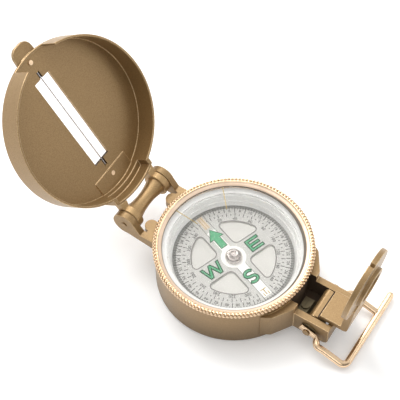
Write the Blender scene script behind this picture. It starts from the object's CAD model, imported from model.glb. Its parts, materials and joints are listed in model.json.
"""Looks of a folding sighting compass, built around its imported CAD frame."""

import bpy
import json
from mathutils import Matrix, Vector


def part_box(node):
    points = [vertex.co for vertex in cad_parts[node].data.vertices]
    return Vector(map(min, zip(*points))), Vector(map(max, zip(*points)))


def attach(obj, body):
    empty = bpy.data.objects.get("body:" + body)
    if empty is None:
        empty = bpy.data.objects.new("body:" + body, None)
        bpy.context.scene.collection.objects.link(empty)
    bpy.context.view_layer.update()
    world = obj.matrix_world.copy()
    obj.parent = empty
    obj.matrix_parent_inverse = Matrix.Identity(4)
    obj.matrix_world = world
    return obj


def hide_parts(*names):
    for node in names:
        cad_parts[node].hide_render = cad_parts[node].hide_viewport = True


bl_info = {
    "name": "Folding sighting compass",
    "version": (1, 0, 0),
    "blender": (4, 5, 0),
    "location": "3D View > Sidebar > Compass",
    "description": "Finishes, dial printing and fine shapes of a folding sighting compass",
    "category": "Object",
}

import json
import math

import bmesh
import bpy
from bpy.props import FloatProperty, FloatVectorProperty, IntProperty, PointerProperty
from mathutils import Matrix, Vector

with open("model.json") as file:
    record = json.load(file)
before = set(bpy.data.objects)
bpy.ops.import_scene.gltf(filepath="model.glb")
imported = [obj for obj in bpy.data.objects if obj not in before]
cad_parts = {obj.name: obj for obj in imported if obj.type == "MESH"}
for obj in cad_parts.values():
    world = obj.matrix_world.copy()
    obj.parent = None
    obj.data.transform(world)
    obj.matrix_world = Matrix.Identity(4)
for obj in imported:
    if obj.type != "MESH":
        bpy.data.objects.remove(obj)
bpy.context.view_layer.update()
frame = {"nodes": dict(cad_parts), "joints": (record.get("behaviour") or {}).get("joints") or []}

MM = 0.001
Z_AXIS = Vector((0, 0, 1))


def node_top(name):
    """Height of a CAD node's highest point."""
    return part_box(name)[1].z


def joint_position(name):
    """Point on a joint's axis, in metres."""
    return Vector(next(j["pos_m"] for j in frame["joints"] if j["name"] == name))


CARD_TOP = node_top("dial_card")
# Angle between the stored cover and the closed one, and the way its open side faces
LID_OPEN = math.radians(126.5)
LID_INWARD = Vector((0, -math.sin(LID_OPEN), -math.cos(LID_OPEN)))
# Thickness of printed ink
INK = 0.06 * MM
# Mesh points closer than this are joined
WELD = 0.001 * MM
WARM_WHITE = (1.0, 0.995, 0.985, 1.0)


# Properties


def length(name, description, default_mm):
    """A length property with its default in mm."""
    return FloatProperty(name=name, description=description, default=default_mm * MM, unit="LENGTH")


class CompassSizes(bpy.types.PropertyGroup):
    """Sizes that are not fixed by the CAD frame."""

    edge_round: length("Edge rounding", "Width of the rounded edges of the castings", 0.22)
    knurl_count: IntProperty(
        name="Knurl ridges",
        description="Number of slanting ridges around the bezel",
        default=132,
        min=40,
        max=180,
    )
    knurl_depth: length("Knurl depth", "Depth of the grooves between the ridges", 0.42)
    loop_wire: length("Loop wire", "Diameter of the thumb loop's wire", 2.49)
    card_turn: FloatProperty(
        name="Card turn",
        description="Direction of the card's north, clockwise from the line of sight",
        default=math.radians(20),
        subtype="ANGLE",
    )
    number_height: length("Number height", "Height of the degree numbers on the card", 1.2)


def colour(name, description, value):
    """A colour property with an alpha of one."""
    return FloatVectorProperty(
        name=name,
        description=description,
        default=(*value, 1.0),
        size=4,
        subtype="COLOR",
        min=0,
        max=1,
    )


class CompassColours(bpy.types.PropertyGroup):
    """Base colours of the finishes."""

    paint: colour("Bronze paint", "Metallic paint of the castings", (0.355, 0.226, 0.098))
    paint_low: colour("Paint, low spots", "Low spots of the paint's texture", (0.27, 0.168, 0.068))
    paint_edge: colour("Paint, edges", "Paint rubbed bright along the edges", (0.62, 0.45, 0.26))
    recess: colour("Dark recess", "Unpainted inside of the rear frame", (0.05, 0.029, 0.013))
    gold: colour("Gold metal", "Bright metal of the bezel and the thumb loop", (0.86, 0.635, 0.42))
    gold_slope: colour("Bezel slope", "Brushed inner slope of the bezel", (0.90, 0.71, 0.55))
    spool: colour("Spool", "Turned spool of the cover's hinge", (0.50, 0.325, 0.145))
    gold_low: colour("Gold, grooves", "Dark metal between the knurl's ridges", (0.27, 0.14, 0.055))
    steel: colour("Steel", "Bright steel of the hub, wire and post", (0.74, 0.69, 0.68))
    spring: colour("Spring steel", "Dull olive steel of the springs", (0.25, 0.205, 0.125))
    gasket: colour("Gasket", "Dark ring between the crystal and the bezel", (0.125, 0.10, 0.072))
    white: colour("White plastic", "Bowl under the card", (0.46, 0.458, 0.45))
    card: colour("Card", "Face of the dial card", (0.50, 0.498, 0.49))
    film: colour("Window film", "Pale film in the card's windows", (0.65, 0.645, 0.63))
    strip: colour("Pointer bar", "White bar under the arrow", (0.93, 0.93, 0.92))
    ink: colour("Grey ink", "Scales of the card", (0.09, 0.088, 0.085))
    number: colour("Number ink", "Numbers of the card", (0.15, 0.147, 0.143))
    line: colour("Outline ink", "Outlines of the windows", (0.19, 0.18, 0.175))
    band: colour("Grey band", "Grey ring around the card's rim", (0.225, 0.225, 0.218))
    green: colour("Green ink", "Letters and arrow", (0.088, 0.36, 0.19))
    green_edge: colour("Dark green ink", "Outline of the letters", (0.012, 0.075, 0.035))
    index: colour("Index line", "Gold lines on the crystal", (0.42, 0.31, 0.12))
    tan: colour("Tan ink", "Tint ahead of the arrow", (0.62, 0.52, 0.42))
    floor: colour("Floor", "Pale floor under the compass", (0.92, 0.92, 0.92))


# Shader helpers


def feed(node, key, value):
    """Links a socket's value to an input of a node, or sets a plain one."""
    if isinstance(value, bpy.types.NodeSocket):
        node.id_data.links.new(value, node.inputs[key])
    else:
        node.inputs[key].default_value = value


def feed_all(node, **sockets):
    """Feeds inputs by name, with _ for a space, and gives the node."""
    for key, value in sockets.items():
        feed(node, key.replace("_", " "), value)
    return node


def add_node(tree, kind, **sockets):
    """Adds a shader node and feeds its inputs."""
    return feed_all(tree.nodes.new(kind), **sockets)


def calculate(tree, operation, *values, kind="ShaderNodeMath", output=0):
    """Result of a maths node with its inputs in order."""
    node = tree.nodes.new(kind)
    node.operation = operation
    for index, value in enumerate(values):
        feed(node, index, value)
    return node.outputs[output]


def mix_colour(factor, a, b):
    """Mixes two colours by a socket's value and gives the result's socket."""
    node = factor.id_data.nodes.new("ShaderNodeMix")
    node.data_type = "RGBA"
    # The colour mix has its sockets at these places
    for index, value in ((0, factor), (6, a), (7, b)):
        feed(node, index, value)
    return node.outputs[2]


def map_range(value, low, high, to_low=0.0, to_high=1.0):
    """Moves a socket's value from one range to another, clamped."""
    ends = {"From_Min": low, "From_Max": high, "To_Min": to_low, "To_Max": to_high}
    return add_node(value.id_data, "ShaderNodeMapRange", Value=value, **ends).outputs["Result"]


def noise(tree, vector, scale, detail=2.0, roughness=0.5):
    """Noise value at a scale in cycles a metre."""
    sizes = {"Scale": scale, "Detail": detail, "Roughness": roughness}
    return add_node(tree, "ShaderNodeTexNoise", Vector=vector, **sizes).outputs["Fac"]


def object_coords(tree):
    """Object coordinates in a shader."""
    return tree.nodes.new("ShaderNodeTexCoord").outputs["Object"]


def new_group(name, label, default, outputs):
    """Shader node group with a float input and float outputs."""
    group = bpy.data.node_groups.new(name, "ShaderNodeTree")
    make = group.interface.new_socket
    make(label, in_out="INPUT", socket_type="NodeSocketFloat").default_value = default
    for output in outputs:
        make(output, in_out="OUTPUT", socket_type="NodeSocketFloat")
    value = group.nodes.new("NodeGroupInput").outputs[0]
    return group, value, group.nodes.new("NodeGroupOutput")


def make_grain_group():
    """Fine orange-peel grain with specks, for sprayed and cast surfaces."""
    labels = ("Height", "Speck", "Cloud")
    group, size, out = new_group("surface_grain", "Grain Size", 0.3 * MM, labels)
    coords = object_coords(group)
    scale = calculate(group, "DIVIDE", 1.0, size)
    cells = add_node(group, "ShaderNodeTexVoronoi", Vector=coords, Scale=scale)
    speck = map_range(cells.outputs["Distance"], 0.05, 0.45, 1.0, 0.0)
    cloud = map_range(noise(group, coords, 90.0, 3.0), 0.3, 0.7)
    feed_all(out, Height=noise(group, coords, scale, 3.0, 0.6), Speck=speck, Cloud=cloud)
    return group


def make_handling_group():
    """Smudges and hairline scratches, for handled metal, glass and plastic."""
    group, amount, out = new_group("handling_marks", "Amount", 1.0, ("Smudge", "Scratch"))
    coords = object_coords(group)
    smudge = map_range(noise(group, coords, 160.0, 4.0, 0.55), 0.35, 0.7)
    # Fine across a scratch and coarse along it
    turn, scale = (0.3, 0.2, 0.7), (2600.0, 160.0, 900.0)
    stretch = add_node(group, "ShaderNodeMapping", Vector=coords, Rotation=turn, Scale=scale)
    scratch = map_range(noise(group, stretch.outputs[0], 1.0, 1.0), 0.62, 0.7)
    for label, value in (("Smudge", smudge), ("Scratch", scratch)):
        feed(out, label, calculate(group, "MULTIPLY", value, amount))
    return group


def make_rings_group():
    """Concentric turned lines around the Z axis."""
    group, pitch, out = new_group("turned_rings", "Pitch", 0.5 * MM, ("Line",))
    vector = "ShaderNodeVectorMath"
    flat = calculate(group, "MULTIPLY", object_coords(group), (1.0, 1.0, 0.0), kind=vector)
    radius = calculate(group, "LENGTH", flat, kind=vector, output="Value")
    wave = calculate(group, "PINGPONG", calculate(group, "DIVIDE", radius, pitch), 0.5)
    feed_all(out, Line=map_range(wave, 0.0, 0.5))
    return group


GROUP_MAKERS = {
    "surface_grain": make_grain_group,
    "handling_marks": make_handling_group,
    "turned_rings": make_rings_group,
}


def place_group(tree, name, value):
    """Outputs of a node group, made on first use and placed with a value."""
    node = tree.nodes.new("ShaderNodeGroup")
    node.node_tree = bpy.data.node_groups.get(name) or GROUP_MAKERS[name]()
    feed(node, 0, value)
    return node.outputs


def shaded(tint, factor, lift=0.0):
    """A colour times a factor plus a lift, at most one, with an alpha of one."""
    return tuple(min(1.0, c * factor + lift) for c in tint[:3]) + (1.0,)


def start_material(name, metallic, roughness):
    """New material with a Principled shader and its plain values."""
    material = bpy.data.materials.new(name)
    material.use_nodes = True
    shader = material.node_tree.nodes["Principled BSDF"]
    feed_all(shader, Metallic=metallic, Roughness=roughness)
    return material, material.node_tree, shader


def bump(shader, height, strength, distance):
    """Feeds a height to the shader's normal."""
    values = {"Height": height, "Strength": strength, "Distance": distance}
    feed(shader, "Normal", add_node(height.id_data, "ShaderNodeBump", **values).outputs["Normal"])


def paint_material(name, light, low, metallic=0.55, roughness=0.4, grain=0.34 * MM, grime=0.0):
    """Sprayed metallic paint with a fine grain, darker in its low spots and near the ground."""
    material, tree, shader = start_material(name, metallic, roughness)
    marks = place_group(tree, "surface_grain", grain)
    base = mix_colour(map_range(marks["Height"], 0.38, 0.62), low, light)
    base = mix_colour(map_range(marks["Cloud"], 0.0, 1.0, 0.0, 0.14), base, low)
    speck = map_range(marks["Speck"], 0.55, 1.0, 0.0, 0.22)
    base = mix_colour(speck, base, shaded(light, 1.5))
    if grime:
        grime_height = 13.0 * MM
        place = add_node(tree, "ShaderNodeSeparateXYZ", Vector=object_coords(tree))
        dirt = map_range(place.outputs["Z"], 0.0, grime_height, grime, 0.0)
        base = mix_colour(dirt, base, shaded(low, 0.4))
    rough = map_range(marks["Speck"], 0.0, 1.0, roughness + 0.06, roughness - 0.1)
    feed_all(shader, Base_Color=base, Roughness=rough, Coat_Weight=0.3, Coat_Roughness=0.42)
    bump(shader, marks["Height"], 0.2, 0.12 * MM)
    return material


def metal_material(name, tint, roughness):
    """Bright metal with faint smudges and hairlines."""
    material, tree, shader = start_material(name, 1.0, roughness)
    marks = place_group(tree, "handling_marks", 1.0)
    base = mix_colour(marks["Smudge"], tint, shaded(tint, 0.85))
    rough = map_range(marks["Smudge"], 0.0, 1.0, roughness, roughness + 0.12)
    feed_all(shader, Base_Color=base, Roughness=rough)
    bump(shader, marks["Scratch"], 0.08, 0.02 * MM)
    return material


def plastic_material(name, tint, roughness, glow=0.0, pitch=None, depth=0.1):
    """Moulded plastic or printed card, with turned lines where a pitch is given."""
    material, tree, shader = start_material(name, 0.0, roughness)
    marks = place_group(tree, "handling_marks", 1.0)
    shade = shaded(tint, 1.0 - depth)
    smudge = map_range(marks["Smudge"], 0.0, 1.0, 0.0, 0.4)
    base = mix_colour(smudge, tint, shade)
    if pitch:
        line = place_group(tree, "turned_rings", pitch)["Line"]
        base = mix_colour(map_range(line, 0.72, 1.0, 0.0, 0.8), base, shade)
        bump(shader, line, 0.2, 0.05 * MM)
    rough = map_range(marks["Smudge"], 0.0, 1.0, roughness, roughness + 0.1)
    feed_all(shader, Base_Color=base, Roughness=rough)
    if glow:
        feed_all(shader, Emission_Color=base, Emission_Strength=glow)
    return material


def ink_material(name, tint, roughness=0.6):
    """Printed ink with a slightly uneven lay-down."""
    material, tree, shader = start_material(name, 0.0, roughness)
    height = place_group(tree, "surface_grain", 0.15 * MM)["Height"]
    feed_all(shader, Base_Color=mix_colour(height, tint, shaded(tint, 1.25, 0.01)))
    return material


def clear_material(name, tint, facing=0.0):
    """Clear crystal: seen through, with reflections that grow towards grazing."""
    material, tree, shader = start_material(name, 0.0, 0.02)
    marks = place_group(tree, "handling_marks", 1.0)
    rough = map_range(marks["Smudge"], 0.0, 1.0, 0.015, 0.05)
    feed_all(shader, Base_Color=tint, Transmission_Weight=1.0, IOR=1.47, Roughness=rough)
    clear = add_node(tree, "ShaderNodeBsdfTransparent", Color=(1.0, 0.998, 0.992, 1.0))
    weight = add_node(tree, "ShaderNodeLayerWeight", Blend=0.35)
    factor = map_range(weight.outputs["Fresnel"], 0.0, 1.0, facing, 0.5)
    # Shadow rays pass straight through
    shadow = tree.nodes.new("ShaderNodeLightPath").outputs["Is Shadow Ray"]
    lit = calculate(tree, "MULTIPLY", factor, calculate(tree, "SUBTRACT", 1.0, shadow))
    mix = tree.nodes.new("ShaderNodeMixShader")
    for index, value in enumerate((lit, clear.outputs[0], shader.outputs[0])):
        feed(mix, index, value)
    feed(tree.nodes["Material Output"], "Surface", mix.outputs[0])
    return material


def finish_of(name):
    """Shared finish, made on first use from the scene's colours."""
    ready = bpy.data.materials.get(name)
    if ready:
        return ready
    c = bpy.context.scene.compass_colours
    paint = (c.paint[:], c.paint_low[:])
    recipes = {
        "bronze_paint": (paint_material, *paint),
        "bronze_case": (paint_material, *paint, 0.55, 0.4, 0.34 * MM, 0.6),
        "bronze_satin": (paint_material, *paint, 0.55, 0.36, 0.26 * MM),
        "bronze_spool": (paint_material, c.spool[:], c.paint[:], 0.6, 0.4, 0.26 * MM),
        "bronze_edge": (paint_material, c.paint_edge[:], c.paint[:], 0.7, 0.33),
        "bronze_pin": (paint_material, *paint, 0.7, 0.34, 0.2 * MM),
        "dark_recess": (ink_material, c.recess[:], 0.8),
        "gold_groove": (metal_material, c.gold_low[:], 0.4),
        "bright_gold": (metal_material, c.gold[:], 0.2),
        "satin_gold": (metal_material, c.gold[:], 0.3),
        "slope_gold": (metal_material, c.gold_slope[:], 0.5),
        "bright_steel": (metal_material, c.steel[:], 0.2),
        "olive_spring": (metal_material, c.spring[:], 0.45),
        "dark_gasket": (plastic_material, c.gasket[:], 0.4),
        "window_film": (plastic_material, c.film[:], 0.4),
        "white_bowl": (plastic_material, c.white[:], 0.3, 0.8, 0.62 * MM, 0.2),
        "card_face": (plastic_material, c.card[:], 0.45, 0.16),
        "pointer_bar": (plastic_material, c.strip[:], 0.4),
        "number_ink": (ink_material, c.number[:]),
        "outline_ink": (ink_material, c.line[:]),
        "tan_ink": (ink_material, c.tan[:]),
        "grey_ink": (ink_material, c.ink[:]),
        "grey_band": (ink_material, c.band[:]),
        "letter_green": (ink_material, c.green[:]),
        "letter_edge": (ink_material, c.green_edge[:]),
        "index_gold": (ink_material, c.index[:], 0.35),
        "clear_crystal": (clear_material, (1.0, 1.0, 1.0, 1.0)),
        "clear_lens": (clear_material, (0.96, 0.98, 0.98, 1.0), 0.12),
    }
    maker, *values = recipes[name]
    return maker(name, *values)


# Mesh helpers


def add_object(name, data):
    """Adds an object to the scene."""
    thing = bpy.data.objects.new(name, data)
    bpy.context.scene.collection.objects.link(thing)
    return thing


def piece_from(name, bm, finishes, smooth_angle=35.0):
    """Makes an object of a bmesh, with its edges sharp above an angle in degrees."""
    limit = math.radians(smooth_angle)
    for face in bm.faces:
        face.smooth = True
    for edge in bm.edges:
        if len(edge.link_faces) == 2 and edge.calc_face_angle(0.0) > limit:
            edge.smooth = False
    mesh = bpy.data.meshes.new(name)
    bm.to_mesh(mesh)
    bm.free()
    for finish in finishes:
        mesh.materials.append(finish_of(finish))
    return add_object(name, mesh)


def settle(piece, body, slot, *nodes):
    """Rides a piece on a body, names its slot and the CAD nodes that it stands for."""
    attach(piece, body)
    if nodes:
        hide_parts(*nodes)


def refinish(finish, *nodes):
    """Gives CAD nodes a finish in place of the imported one."""
    for name in nodes:
        mesh = frame["nodes"][name].data
        mesh.materials.clear()
        mesh.materials.append(finish_of(finish))


def soften(node, body, width, finish, dark=None):
    """Copy of a CAD node with its flat faces joined and its longer edges rounded and worn."""
    flat_angle, sharp_angle = math.radians(0.4), 32.0
    shortest, ground = 2.2 * width, 0.4 * MM
    bm = bmesh.new()
    bm.from_mesh(frame["nodes"][node].data)
    bmesh.ops.remove_doubles(bm, verts=bm.verts, dist=WELD)
    bmesh.ops.dissolve_limit(bm, angle_limit=flat_angle, verts=bm.verts, edges=bm.edges)
    for face in bm.faces:
        face.material_index = 2 if dark and dark(face.calc_center_median(), face.normal) else 0
    weight = bm.edges.layers.float.new("bevel_weight_edge")
    tight = {v for e in bm.edges if e.calc_length() < shortest for v in e.verts}
    for edge in bm.edges:
        a, b = edge.verts
        if len(edge.link_faces) != 2 or a in tight or b in tight or max(a.co.z, b.co.z) < ground:
            continue
        painted = all(face.material_index == 0 for face in edge.link_faces)
        if painted and edge.calc_face_angle(0.0) > math.radians(sharp_angle):
            edge[weight] = 1.0
    piece = piece_from(node + "_soft", bm, [finish, "bronze_edge", "dark_recess"], sharp_angle)
    rounding = piece.modifiers.new("edge_round", "BEVEL")
    rounding.width = width
    rounding.segments = 2
    rounding.limit_method = "WEIGHT"
    rounding.use_clamp_overlap = False
    rounding.miter_outer = "MITER_ARC"
    rounding.material = 1
    flat = piece.modifiers.new("flat_faces", "WEIGHTED_NORMAL")
    flat.keep_sharp = True
    settle(piece, body, "case_paint", node)


def lathe(name, profile, finishes, steps, close=True):
    """Turned piece: a profile of (radius, height) pairs spun about the Z axis."""
    bm = bmesh.new()
    ring = [bm.verts.new((r, 0, h)) for r, h in profile]
    edges = [bm.edges.new(pair) for pair in zip(ring, ring[1:])]
    if close:
        edges.append(bm.edges.new((ring[-1], ring[0])))
    turn = {"axis": Z_AXIS, "angle": math.tau, "steps": steps, "use_merge": True}
    bmesh.ops.spin(bm, geom=ring + edges, cent=(0, 0, 0), **turn)
    bmesh.ops.remove_doubles(bm, verts=bm.verts, dist=WELD)
    bmesh.ops.recalc_face_normals(bm, faces=bm.faces)
    return piece_from(name, bm, finishes)


def offsets(x, z, points):
    """Points of a profile at offsets in mm from a place."""
    return [(x + dx * MM, z + dz * MM) for dx, dz in points]


def add_box(bm, matrix, size):
    """Adds a box of a size, in metres, to a bmesh."""
    bmesh.ops.create_cube(bm, size=1.0, matrix=matrix @ Matrix.Diagonal((*size, 1.0)))


def card_matrix(height):
    """Turns card coordinates (east, north, up) to the card's direction at a height."""
    turn = bpy.context.scene.compass_sizes.card_turn
    return Matrix.Translation((0, 0, height)) @ Matrix.Rotation(-turn, 4, "Z")


def card_piece(name, bm, finishes, slot, *nodes):
    """Makes a printed piece that rides the card."""
    settle(piece_from(name, bm, finishes, 30), "card", slot, *nodes)


def fill_plate(bm, loops, thickness, matrix, inset=0.0):
    """Adds a thin plate bounded by loops of (x, y) points in mm, with an inset second colour."""
    edges = []
    for points in loops:
        verts = [bm.verts.new((x, y, 0)) for x, y in points]
        edges += [bm.edges.new((verts[i - 1], verts[i])) for i in range(len(verts))]
    filled = bmesh.ops.triangle_fill(bm, use_beauty=True, edges=edges, normal=Z_AXIS)["geom"]
    tops = [g for g in filled if isinstance(g, bmesh.types.BMFace)]
    if inset:
        for face in tops:
            face.material_index = 1
        ways = {"use_even_offset": True, "use_boundary": True}
        rim = bmesh.ops.inset_region(bm, faces=tops, thickness=inset, **ways)["faces"]
        for face in rim:
            face.material_index = 0
        tops += rim
    made = {v for f in tops for v in f.verts}
    side = bmesh.ops.extrude_face_region(bm, geom=tops, use_keep_orig=True)["geom"]
    lifted = [g for g in side if isinstance(g, bmesh.types.BMVert)]
    bmesh.ops.translate(bm, verts=lifted, vec=Z_AXIS * thickness / MM)
    made.update(lifted)
    bmesh.ops.transform(bm, matrix=matrix @ Matrix.Scale(MM, 4), verts=list(made))
    bmesh.ops.recalc_face_normals(bm, faces=bm.faces)


# Operators


class COMPASS_OT_stage(bpy.types.Operator):
    """Adds the pale floor, the soft lights and the camera"""

    bl_idname = "compass.stage"
    bl_label = "Stage"

    # Camera fitted to the photograph
    camera_eye = Vector((-0.2084454, -0.1202027, 0.4150547))
    camera_right = Vector((0.5372689, -0.8434073, -0.0025156))
    camera_back = Vector((-0.4599128, -0.2954720, 0.8373629))
    focal_px, picture_px = 1356.56, 400.0
    floor_half = 4.0
    floor_drop = 0.05 * MM
    # Where the surroundings are brightest
    bright_side = Vector((0.36, 0.45, 0.82))
    # Name, place and size in metres, and power in watts
    lights = (
        ("key_light", (0.30, 0.68, 0.77), 0.55, 7.0),
        ("top_light", (0.25, 0.20, 1.0), 0.8, 2.6),
        ("side_light", (0.55, -0.75, 0.35), 0.5, 1.3),
        ("fill_light", (-0.66, -0.42, 0.62), 0.5, 1.1),
    )

    def execute(self, context):
        self.add_floor()
        self.add_lights()
        self.add_camera(context.scene)
        context.scene.view_settings.view_transform = "Standard"
        context.scene.view_settings.look = "None"
        return {"FINISHED"}

    def add_floor(self):
        """Wide floor just under the compass."""
        bm = bmesh.new()
        bmesh.ops.create_grid(bm, x_segments=1, y_segments=1, size=self.floor_half)
        bmesh.ops.translate(bm, verts=bm.verts, vec=(0, 0, -self.floor_drop))
        floor = piece_from("floor", bm, [])
        floor.data.materials.append(self.floor_material())

    def floor_material(self):
        """Pale, slightly cloudy floor."""
        material, tree, shader = start_material("pale_floor", 0.0, 0.9)
        tone = map_range(noise(tree, object_coords(tree), 3.0), 0.3, 0.7, 0.0, 0.15)
        base = bpy.context.scene.compass_colours.floor[:]
        cloudy = mix_colour(tone, base, (0.86, 0.86, 0.86, 1.0))
        feed_all(shader, Base_Color=cloudy, Emission_Color=WARM_WHITE, Emission_Strength=0.15)
        return material

    def add_lights(self):
        """Surroundings brighter on one side, and soft lights."""
        world = bpy.data.worlds.new("studio")
        bpy.context.scene.world = world
        world.use_nodes = True
        tree = world.node_tree
        coords = tree.nodes.new("ShaderNodeTexCoord").outputs["Generated"]
        vector = {"kind": "ShaderNodeVectorMath", "output": "Value"}
        toward = calculate(tree, "DOT_PRODUCT", coords, self.bright_side, **vector)
        glow = map_range(toward, -0.1, 0.95, 0.16, 1.15)
        feed_all(tree.nodes["Background"], Color=WARM_WHITE, Strength=glow)
        for name, place, size, power in self.lights:
            data = bpy.data.lights.new(name, "AREA")
            data.size = size
            data.energy = power
            lamp = add_object(name, data)
            lamp.location = place
            lamp.rotation_euler = Vector(place).to_track_quat("Z", "Y").to_euler()

    def add_camera(self, scene):
        """Camera with the photograph's view."""
        up = self.camera_back.cross(self.camera_right)
        data = bpy.data.cameras.new("camera")
        data.sensor_width = 36.0
        data.lens = self.focal_px * data.sensor_width / self.picture_px
        data.clip_start = 0.01
        camera = add_object("camera", data)
        turn = Matrix((self.camera_right, up, self.camera_back)).transposed().to_4x4()
        camera.matrix_world = Matrix.Translation(self.camera_eye) @ turn
        scene.camera = camera


class COMPASS_OT_castings(bpy.types.Operator):
    """Paints the castings and rounds their edges"""

    bl_idname = "compass.castings"
    bl_label = "Castings"

    # Leaf gap: its size, and its place from the knuckle's axis
    gap_size = (11.2 * MM, 0.5 * MM, 0.1 * MM)
    gap_place = Vector((0, -1.5 * MM, 2.33 * MM))
    # Grooves at the wire's ends, from the middle of each anchor
    groove_half, groove_reach = 1.3 * MM, 3.9 * MM
    groove_low, groove_high = -0.65 * MM, 0.25 * MM
    # Opening of the rear frame
    pin_end = 2.3 * MM
    frame_back, frame_front = -40 * MM, -26.5 * MM
    frame_low, frame_floor, frame_top = 3.5 * MM, 6 * MM, 14.8 * MM

    def execute(self, context):
        width = context.scene.compass_sizes.edge_round
        soften("case", "base", width, "bronze_case", self.in_rear_frame)
        soften("cover", "lid", width, "bronze_paint", self.in_wire_groove)
        soften("hinge_spool", "lid", width, "bronze_spool")
        soften("lens_bracket", "bracket", width, "bronze_satin")
        refinish("bronze_pin", "hinge_pin", "bracket_pin", "lens_ring")
        self.add_leaf_gap()
        return {"FINISHED"}

    def add_leaf_gap(self):
        """Dark line where the bracket's leaf meets its knuckle."""
        place = joint_position("bracket_fold") + self.gap_place
        place.x = 0
        bm = bmesh.new()
        add_box(bm, Matrix.Translation(place), self.gap_size)
        settle(piece_from("leaf_gap", bm, ["dark_recess"]), "bracket", "case_paint")

    def in_wire_groove(self, centre, _normal):
        """True for the sunk faces of the grooves that hold the sighting wire's ends."""
        for node in ("wire_anchor_far", "wire_anchor_near"):
            low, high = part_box(node)
            away = centre - (Vector(low) + Vector(high)) / 2
            near = abs(away.x) < self.groove_half and away.length < self.groove_reach
            if near and self.groove_low < away.dot(LID_INWARD) < self.groove_high:
                return True
        return False

    def in_rear_frame(self, centre, normal):
        """True for the walls and floor inside the opening of the rear frame."""
        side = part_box("bracket_pin")[1].x - self.pin_end
        inside = abs(centre.x) < side and self.frame_back < centre.y < self.frame_front
        inside = inside and self.frame_low < centre.z < self.frame_top
        return inside and (abs(normal.z) < 0.5 or centre.z < self.frame_floor)


class COMPASS_OT_bezel(bpy.types.Operator):
    """Adds the bezel with its slanting rope knurl"""

    bl_idname = "compass.bezel"
    bl_label = "Bezel"

    steps_per_ridge = 8
    # The seal is squeezed wider on one side of the crystal
    seal_side = Vector((0.66, -0.75, 0.0))
    seal_swell = 0.85 * MM
    # Rope: radius, slant in radians of a ridge, and angles of its arc in degrees
    bead = 0.94 * MM
    slant = 0.9
    arc_end = 128
    arc_margin = 4
    arc_steps = 28
    row_split = 52
    # Share of the depth from which a face is a groove
    groove_share = 0.62

    def execute(self, context):
        sizes = context.scene.compass_sizes
        low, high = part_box("bezel_ring")
        glass = node_top("crystal")
        outer, top, bead = high.x, high.z, self.bead
        skirt = outer - 2.1 * MM
        skirt_in = skirt - 0.7 * MM
        mouth = outer - 1.65 * MM
        foot = mouth - 1.5 * MM
        bead_x, bead_z = outer - bead, top - bead
        slope = ((0, 0), (0, 0.3), (0.55, 0.72), (0.65, 0.74))
        lip = ((-0.3, -0.3), (-0.12, -0.12), (0.04, -0.1), (0.16, -0.25))
        inner = [(skirt_in, low.z), (skirt_in, glass)]
        inner += offsets(foot, glass, slope) + offsets(mouth, top, lip)
        start, end = math.radians(self.arc_end), math.radians(-self.arc_end)
        arc = [start + (end - start) * i / self.arc_steps for i in range(self.arc_steps + 1)]
        rope = [(bead_x + bead * math.cos(a), bead_z + bead * math.sin(a)) for a in arc]
        under = [(skirt + 0.3 * MM, bead_z - bead * 0.95), (skirt, bead_z - bead * 0.98)]
        ridges = sizes.knurl_count
        finishes = ["bright_gold", "gold_groove", "slope_gold"]
        steps = ridges * self.steps_per_ridge
        profile = [*inner, *rope, *under, (skirt, low.z)]
        ring = lathe("bezel_knurled", profile, finishes, steps)
        depth = {}
        for vert in ring.data.vertices:
            x, y, z = vert.co
            radius = math.hypot(x, y)
            away = Vector((radius - bead_x, z - bead_z))
            along = math.degrees(math.atan2(away.y, away.x))
            if abs(away.length - bead) > 2 * WELD or abs(along) > self.arc_end - self.arc_margin:
                continue
            cut = sizes.knurl_depth * self.hollow(ridges * math.atan2(y, x), along)
            depth[vert.index] = cut
            away = away.normalized() * (away.length - cut)
            scale = (bead_x + away.x) / radius
            vert.co = (x * scale, y * scale, bead_z + away.y)
        for face in ring.data.polygons:
            cuts = [depth.get(i, 0.0) for i in face.vertices]
            if sum(cuts) / len(cuts) > self.groove_share * sizes.knurl_depth:
                face.material_index = 1
            elif face.center.z > glass and face.center.to_2d().length < mouth - 0.25 * MM:
                face.material_index = 2
        settle(ring, "bezel", "gold_metal", "bezel_ring")
        gasket = ((-0.16, 0), (-0.02, 0), (-0.02, 0.3), (-0.08, 0.32), (-0.14, 0.2))
        seal = lathe("crystal_gasket", offsets(foot, glass, gasket), ["dark_gasket"], 180)
        for vert in seal.data.vertices:
            away = Vector((vert.co.x, vert.co.y, 0))
            if away.length < foot - 0.05 * MM:
                away.normalize()
                side = max(0.0, away.dot(self.seal_side))
                vert.co -= away * self.seal_swell * side ** 2
        settle(seal, "bezel", "magnet")
        refinish("clear_crystal", "crystal")
        refinish("index_gold", "index_line_ahead", "index_line_side")
        return {"FINISHED"}

    def hollow(self, turn, along):
        """Depth from 0 to 1 of the knurl: an outer and an inner row of slanting beads."""
        if along < self.row_split:
            middle, half, offset = 0.0, self.row_split, 0.0
        else:
            half = (self.arc_end - self.row_split) / 2
            middle, offset = self.row_split + half, math.pi
        across = min(1.0, abs(along - middle) / half)
        slant = self.slant * (along - middle) / half
        ridge = abs(math.cos((turn + offset + slant) / 2)) ** 0.75
        return 1.0 - ridge * (1.0 - across ** 3) ** 0.5


class COMPASS_OT_bowl(bpy.types.Operator):
    """Finishes the bowl, its cover, the bezel's spring, the post and the magnet"""

    bl_idname = "compass.bowl"
    bl_label = "Bowl"

    def execute(self, context):
        refinish("white_bowl", "dial_bowl")
        refinish("clear_crystal", "bowl_cover")
        refinish("bright_steel", "pivot_post", "bezel_spring")
        refinish("olive_spring", "card_magnet")
        return {"FINISHED"}


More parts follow.
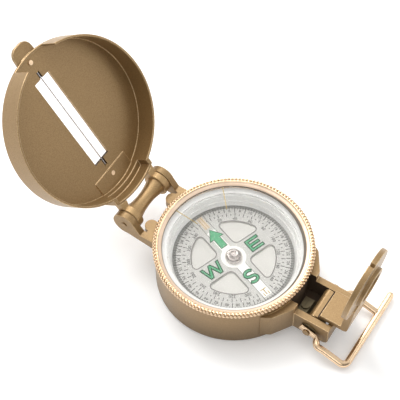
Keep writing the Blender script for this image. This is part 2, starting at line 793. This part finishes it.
class COMPASS_OT_card(bpy.types.Operator):
    """Adds the dial card with its rounded windows, scales and numbers"""

    bl_idname = "compass.card"
    bl_label = "Dial card"

    window_side = 3.8
    window_corner = 1.3
    window_inner_corner = 1.9
    window_outer = 14.6
    line_width = 0.36
    centre_hole = 1.3
    film_inner = 4.5
    film_overlap = 1.0
    film_thick = 0.1 * MM
    band_width = 1.3 * MM
    clear = 0.005 * MM
    # Lines: count, offset, inner and outer radius and width
    scales = (
        (128, 0.0, 20.25, 21.0, 0.16),
        (32, 0.5, 18.3, 20.9, 0.26),
        (32, 0.0, 19.75, 20.5, 0.2),
        (64, 0.5, 19.6, 20.4, 0.18),
        (36, 0.0, 16.55, 17.95, 0.24),
        (36, 0.5, 17.0, 17.5, 0.3),
    )
    # Middle, width and length of the lines beside the pointer bar
    bar_lines = ((15.3, 0.16, 11.4), (-11.6, 0.14, 14.4))
    # Radii of the numbers on the inner and the outer scale
    degree_radius, mil_radius = 15.65, 18.95

    def execute(self, context):
        self.add_card()
        self.add_film()
        self.add_window_lines()
        self.add_band()
        self.add_scales()
        self.add_numbers(context)
        refinish("pointer_bar", "card_pointer")
        self.add_marks()
        return {"FINISHED"}

    def window_points(self, grow=0.0):
        """Outline of one window in mm, a sector with rounded corners, grown by an amount."""
        side, outer = self.window_side - grow, self.window_outer + grow
        r, r_in = self.window_corner + grow, self.window_inner_corner + grow
        reach = math.sqrt((outer - r) ** 2 - (side + r) ** 2)
        tilt = math.atan2(side + r, reach)
        quarter = math.pi / 2
        arcs = (
            (reach, side + r, r, -quarter, tilt, 8),
            (0.0, 0.0, outer, tilt, quarter - tilt, 8),
            (side + r, reach, r, quarter - tilt, math.pi, 9),
            (side + r_in, side + r_in, r_in, math.pi, 3 * quarter, 9),
        )
        points = []
        for x, y, radius, a0, a1, count in arcs:
            for i in range(count):
                a = a0 + (a1 - a0) * i / 8
                points.append((x + radius * math.cos(a), y + radius * math.sin(a)))
        return points

    def add_film(self):
        """Pale film under the card that shows through its windows."""
        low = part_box("dial_card")[0].z
        outer = (self.window_outer + self.film_overlap) * MM
        heights = (low - self.film_thick, low - self.clear)
        self.add_ring("window_film", "window_film", 120, (self.film_inner * MM, outer), heights)

    def add_ring(self, name, finish, steps, radii, heights):
        """Flat ring between two radii and two heights."""
        profile = [(radii[i], heights[k]) for i, k in ((0, 0), (1, 0), (1, 1), (0, 1))]
        settle(lathe(name, profile, [finish], steps), "card", "white_plastic")

    def add_card(self):
        """Card disc with four rounded windows."""
        low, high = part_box("dial_card")
        circles = [self.circle(high.x / MM, 180), self.circle(self.centre_hole, 32)]
        bm = bmesh.new()
        fill_plate(bm, circles + self.window_loops(), CARD_TOP - low.z, card_matrix(low.z))
        card_piece("card_disc", bm, ["card_face"], "white_plastic", "dial_card")

    def circle(self, radius, count):
        """Points of a circle in mm."""
        turns = [math.tau * i / count for i in range(count)]
        return [(radius * math.cos(a), radius * math.sin(a)) for a in turns]

    def window_loops(self, grow=0.0):
        """Outlines of the four windows."""
        loops = []
        for quarter in range(4):
            turn = Matrix.Rotation(quarter * math.pi / 2, 2)
            loops.append([tuple(turn @ Vector(p)) for p in self.window_points(grow)])
        return loops

    def add_window_lines(self):
        """Grey outlines around the windows."""
        bm = bmesh.new()
        for inner, outer in zip(self.window_loops(), self.window_loops(self.line_width)):
            fill_plate(bm, [outer, inner], INK, card_matrix(CARD_TOP))
        card_piece("window_lines", bm, ["outline_ink"], "white_plastic")

    def add_band(self):
        """Grey ring at the card's rim."""
        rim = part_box("dial_card")[1].x
        heights = (CARD_TOP + self.clear, CARD_TOP + INK / 2)
        radii = (rim - self.band_width, rim - 0.02 * MM)
        self.add_ring("rim_band", "grey_band", 180, radii, heights)

    def add_scales(self):
        """Graduations of the outer and inner scale."""
        bm = bmesh.new()
        for count, offset, r_low, r_high, width in self.scales:
            for i in range(count):
                angle = math.tau * (i + offset) / count
                turn = card_matrix(CARD_TOP) @ Matrix.Rotation(-angle, 4, "Z")
                centre = Matrix.Translation((0, (r_low + r_high) / 2 * MM, INK * 0.55))
                add_box(bm, turn @ centre, (width * MM, (r_high - r_low) * MM, INK))
        card_piece("scale_lines", bm, ["grey_ink"], "white_plastic")

    def add_numbers(self, context):
        """Degree numbers near the windows and hundreds of mils at the outer scale."""
        height = context.scene.compass_sizes.number_height
        degrees, mils = self.degree_radius, self.mil_radius
        # The bar covers both scales at north and south
        labels = [(str(k * 20), k * 20.0, degrees, height) for k in range(1, 18) if k != 9]
        labels += [(str(k * 2), k * 11.25, mils, height * 0.95) for k in range(1, 32) if k != 16]
        bm = bmesh.new()
        for text, bearing, radius, size in labels:
            turn = card_matrix(CARD_TOP) @ Matrix.Rotation(-math.radians(bearing), 4, "Z")
            self.add_text(bm, text, size, turn @ Matrix.Translation((0, radius * MM, 0)))
        card_piece("scale_numbers", bm, ["number_ink"], "white_plastic")

    def add_text(self, bm, text, height, matrix):
        """Adds a short number to a bmesh, centred on a place."""
        curve = bpy.data.curves.new("number", "FONT")
        curve.body = text
        curve.size = height * 1.35
        curve.align_x = curve.align_y = "CENTER"
        curve.resolution_u = 2
        curve.extrude = INK * 0.5
        curve.offset = height * 0.03
        holder = add_object("number", curve)
        mesh = holder.to_mesh()
        mesh.transform(matrix @ Matrix.Translation((0, 0, INK * 0.5)))
        bm.from_mesh(mesh)
        holder.to_mesh_clear()
        bpy.data.objects.remove(holder)
        bpy.data.curves.remove(curve)

    def add_marks(self):
        """Tint and lines ahead of the arrow, edges of the bar and marks at its south end."""
        high = node_top("card_pointer")
        tint = [(0.0, 17.2, 2.2, 5.4)]
        self.add_plates("north_tint", "tan_ink", tint, high - 0.03 * MM, 0.1 * MM)
        lines = [(s * 1.8, *line) for line in self.bar_lines for s in (-1, 1)]
        self.add_plates("bar_edges", "grey_band", lines, CARD_TOP + INK, 2 * INK)
        marks = [
            (-0.5, 17.2, 0.2, 5.4), (0.5, 17.2, 0.2, 5.4), (0.0, -16.2, 2.2, 0.3),
            (0.0, -17.4, 0.35, 2.2), (-0.9, -18.2, 0.3, 1.2), (0.9, -18.2, 0.3, 1.2),
        ]
        self.add_plates("index_marks", "index_gold", marks, high + INK / 2, INK)

    def add_plates(self, name, finish, plates, height, thick):
        """Thin plates at (x, y, width, length) in mm on the card's own axes."""
        bm = bmesh.new()
        for x, y, wide, long in plates:
            centre = card_matrix(height) @ Matrix.Translation((x * MM, y * MM, 0))
            add_box(bm, centre, (wide * MM, long * MM, thick))
        card_piece(name, bm, [finish], "line_gold")


class COMPASS_OT_letters(bpy.types.Operator):
    """Adds the arrow and the outlined letters of the card"""

    bl_idname = "compass.letters"
    bl_label = "Letters"

    outline = 0.4
    arrow_outline = 0.2
    # Half height and stroke of the letters E and W
    half_height, stroke = 2.6, 1.35

    def execute(self, context):
        high = node_top("card_pointer")
        self.plate("arrow_plate", self.arrow_points(), high, "north_arrow", self.arrow_outline)
        self.plate("east_plate", self.east_points(), CARD_TOP, "east_letter", self.outline)
        self.plate("south_plate", self.south_points(), high, "south_letter", self.outline)
        self.plate("west_plate", self.west_points(), CARD_TOP, "west_letter", self.outline)
        return {"FINISHED"}

    def plate(self, name, points, height, node, inset):
        """Printed plate of an outline, with a dark edge."""
        bm = bmesh.new()
        thick = node_top("east_letter") - CARD_TOP
        fill_plate(bm, [points], thick, card_matrix(height), inset)
        card_piece(name, bm, ["letter_edge", "letter_green"], "green_ink", node)

    def arrow_points(self):
        """Outline of the arrow to the north."""
        return [(0, 13.8), (-3, 9.4), (-1.35, 9.4), (-1.35, 5), (1.35, 5), (1.35, 9.4), (3, 9.4)]

    def east_points(self):
        """Outline of the letter E."""
        x0, x1, h, s = 6.4, 12.0, self.half_height, self.stroke
        m, arm = s / 2, x1 - 0.5
        return [
            (x0, -h), (x1, -h), (x1, -h + s), (x0 + s, -h + s), (x0 + s, -m), (arm, -m),
            (arm, m), (x0 + s, m), (x0 + s, h - s), (x1, h - s), (x1, h), (x0, h),
        ]

    def west_points(self):
        """Outline of the letter W."""
        cx, half, h, s = -9.0, 4.0, self.half_height, self.stroke
        foot, toe, notch, peak = 1.95, 0.72, -0.45, 0.6
        return [
            (cx - half, h), (cx - foot - toe, -h), (cx - foot + toe, -h), (cx, 0.55),
            (cx + foot - toe, -h), (cx + foot + toe, -h), (cx + half, h), (cx + half - s, h),
            (cx + foot, notch), (cx + peak, h), (cx - peak, h), (cx - foot, notch),
            (cx - half + s, h),
        ]

    def south_points(self):
        """Outline of the letter S: two bows drawn with a pen of one width."""
        cy, r, wide, pen = -9.8, 1.2, 1.42, 0.68
        # Both bows turn between their open end and the middle of the letter
        tip, steps = 25, 12
        turns = [(r, tip + (270 - tip) * i / steps) for i in range(steps + 1)]
        turns += [(-r, 90 - (270 - tip) * i / steps) for i in range(1, steps + 1)]
        turns = [(up, math.radians(angle)) for up, angle in turns]
        path = [(wide * r * math.cos(a), cy + up + r * math.sin(a)) for up, a in turns]
        left, right = [], []
        for i, (x, y) in enumerate(path):
            x0, y0 = path[max(i - 1, 0)]
            x1, y1 = path[min(i + 1, len(path) - 1)]
            run = math.hypot(x1 - x0, y1 - y0)
            nx, ny = -(y1 - y0) / run * pen, (x1 - x0) / run * pen
            left.append((x + nx, y + ny))
            right.append((x - nx, y - ny))
        return left + right[::-1]


class COMPASS_OT_hub(bpy.types.Operator):
    """Adds the turned hub over the jewel"""

    bl_idname = "compass.hub"
    bl_label = "Hub"

    def execute(self, context):
        low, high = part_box("jewel_cap")
        base, top, r, bore = node_top("card_pointer"), high.z, high.x, 1.28 * MM
        crown = (
            (0, -0.45), (0.28, -0.45), (0.42, -0.62), (0.85, -0.62), (1.0, -0.1),
            (1.15, 0), (1.4, 0), (1.58, -0.14), (1.68, -0.5),
        )
        shoulder = ((1.72, 1.6), (1.95, 1.5), (2.35, 1.4), (2.7, 1.1), (2.92, 0.7))
        profile = offsets(0.0, top, crown) + offsets(0.0, base, shoulder)
        profile += [(r, base + 0.3 * MM), (r, base + 0.02 * MM), (bore, base + 0.02 * MM)]
        profile += [(bore, low.z), (0.0, low.z)]
        hub = lathe("hub_turned", profile, ["bright_steel"], 64, close=False)
        settle(hub, "card", "steel", "jewel_cap")
        return {"FINISHED"}


class COMPASS_OT_loop(bpy.types.Operator):
    """Adds the thumb loop, a bent wire with flattened eyes"""

    bl_idname = "compass.thumb_loop"
    bl_label = "Thumb loop"

    # Path in mm from the rivets' axis
    eye_mid = 9.65
    eye_front = 3.0
    leg_x = 11.9
    bar_s = 17.2
    tail_x = 21.7
    # Radii of the bends of a leg and of the corner
    bends = (1.3, 1.5, 3.0)
    corner = 2.2
    bend_steps = 10
    pitch = 0.35
    # Half sizes of an eye's flat wire, its length and that of its change to round
    eye_half = (0.55, 1.65)
    eye_length = 5.8
    eye_change = 2.8
    end_round = 0.4
    right_share = 0.97
    slope = math.radians(18)
    sides = 20

    def execute(self, context):
        wire = context.scene.compass_sizes.loop_wire / MM / 2
        bm = bmesh.new()
        # The left leg goes on as the bar and its tail, the right one ends in it
        left = self.leg(-1) + [(self.tail_x, -self.bar_s, 0)]
        self.sweep(bm, self.fillet(left, (*self.bends, self.corner)), wire)
        self.sweep(bm, self.fillet(self.leg(1), self.bends), wire * self.right_share)
        bmesh.ops.recalc_face_normals(bm, faces=bm.faces)
        place = Matrix.Translation(joint_position("loop_swing"))
        place = place @ Matrix.Rotation(self.slope, 4, "X") @ Matrix.Scale(MM, 4)
        bmesh.ops.transform(bm, matrix=place, verts=bm.verts)
        settle(piece_from("loop_wire", bm, ["bright_gold"], 60), "loop", "gold_metal", "thumb_loop")
        refinish("bronze_pin", "loop_rivet_left", "loop_rivet_right")
        refinish("olive_spring", "loop_washer_left", "loop_washer_right")
        return {"FINISHED"}

    def fillet(self, points, radii):
        """Dense path through corner points with a round bend at each inner one."""
        points = [Vector(point) for point in points]
        path = [points[0]]
        for before, here, after, r in zip(points, points[1:], points[2:], radii):
            u, v = (before - here).normalized(), (after - here).normalized()
            half = u.angle(v) / 2
            reach = r / math.tan(half)
            centre = here + (u + v).normalized() * r / math.sin(half)
            p, q = here + u * reach - centre, here + v * reach - centre
            for i in range(self.bend_steps + 1):
                path.append(centre + p.lerp(q, i / self.bend_steps).normalized() * r)
        path.append(points[-1])
        dense = [path[0]]
        for a, b in zip(path, path[1:]):
            count = max(1, math.ceil((b - a).length / self.pitch))
            dense += [a.lerp(b, i / count) for i in range(1, count + 1)]
        return dense

    def leg(self, side):
        """Corners of the eye and leg on the left (-1) or the right (1)."""
        eye, leg = side * self.eye_mid, side * self.leg_x
        return [
            (eye, self.eye_front, 0), (eye, -3.6, 0), (leg + side * 0.3, -5.6, 0),
            (leg, -8.2, 0), (leg, -self.bar_s, 0),
        ]

    def sweep(self, bm, path, wire):
        """Sweeps a ring along a level path, flattened over the eye and rounded at its ends."""
        travelled = [0.0]
        for a, b in zip(path, path[1:]):
            travelled.append(travelled[-1] + (b - a).length)
        total = travelled[-1]
        wide, tall = self.eye_half
        ring = None
        for i, (point, s) in enumerate(zip(path, travelled)):
            ahead = (path[min(i + 1, len(path) - 1)] - path[max(i - 1, 0)]).normalized()
            side = ahead.cross(Z_AXIS)
            blend = min(1.0, max(0.0, (s - self.eye_length) / self.eye_change))
            blend = blend * blend * (3 - 2 * blend)
            a = wide + (wire - wide) * blend
            b = tall + (wire - tall) * blend
            if s < self.end_round:
                b *= math.sqrt(max(0.5, 1 - (1 - s / self.end_round) ** 2))
            if total - s < wire:
                shrink = math.sqrt(max(0.03, 1 - (1 - (total - s) / wire) ** 2))
                a, b = a * shrink, b * shrink
            if ring is None:
                ring = [bm.verts.new((0, 0, 0)) for _ in range(self.sides)]
                bm.faces.new(ring)
            else:
                made = bmesh.ops.extrude_edge_only(bm, edges=edges)["geom"]
                near = [[edge.other_vert(vert) for edge in vert.link_edges] for vert in ring]
                ring = [next(v for v in verts if v in made) for verts in near]
            edges = [bm.edges.get((ring[k - 1], ring[k])) for k in range(self.sides)]
            for k, vert in enumerate(ring):
                angle = math.tau * k / self.sides
                vert.co = point + side * (a * math.cos(angle)) + Z_AXIS * (b * math.sin(angle))
        bm.faces.new(ring)


class COMPASS_OT_small_parts(bpy.types.Operator):
    """Finishes the wire, dots, lens and spring"""

    bl_idname = "compass.small_parts"
    bl_label = "Small parts"

    def execute(self, context):
        refinish("bright_steel", "sighting_wire")
        refinish("bronze_pin", "wire_anchor_far", "wire_anchor_near")
        refinish("satin_gold", "glow_dot_far", "glow_dot_near")
        refinish("olive_spring", "detent_spring", "spring_screw")
        refinish("clear_lens", "lens")
        return {"FINISHED"}


class COMPASS_PT_panel(bpy.types.Panel):
    """Lists the compass's sizes, colours and pieces"""

    bl_label = "Compass"
    bl_idname = "COMPASS_PT_panel"
    bl_space_type = "VIEW_3D"
    bl_region_type = "UI"
    bl_category = "Compass"

    def draw(self, context):
        layout = self.layout
        for group in (context.scene.compass_sizes, context.scene.compass_colours):
            for key in group.__annotations__:
                layout.prop(group, key)
        for piece in PIECES:
            layout.operator(piece.bl_idname)


PIECES = (
    COMPASS_OT_stage,
    COMPASS_OT_castings,
    COMPASS_OT_bezel,
    COMPASS_OT_bowl,
    COMPASS_OT_card,
    COMPASS_OT_letters,
    COMPASS_OT_hub,
    COMPASS_OT_loop,
    COMPASS_OT_small_parts,
)
CLASSES = (CompassSizes, CompassColours, *PIECES, COMPASS_PT_panel)


def register():
    """Registers the classes and the scene's properties."""
    for cls in CLASSES:
        bpy.utils.register_class(cls)
    bpy.types.Scene.compass_sizes = PointerProperty(type=CompassSizes)
    bpy.types.Scene.compass_colours = PointerProperty(type=CompassColours)


def unregister():
    """Takes back what register() did."""
    del bpy.types.Scene.compass_colours
    del bpy.types.Scene.compass_sizes
    for cls in reversed(CLASSES):
        bpy.utils.unregister_class(cls)


def main():
    register()
    bpy.ops.compass.stage()
    bpy.ops.compass.castings()
    bpy.ops.compass.bezel()
    bpy.ops.compass.bowl()
    bpy.ops.compass.card()
    bpy.ops.compass.letters()
    bpy.ops.compass.hub()
    bpy.ops.compass.thumb_loop()
    bpy.ops.compass.small_parts()


if __name__ == "__main__":
    main()
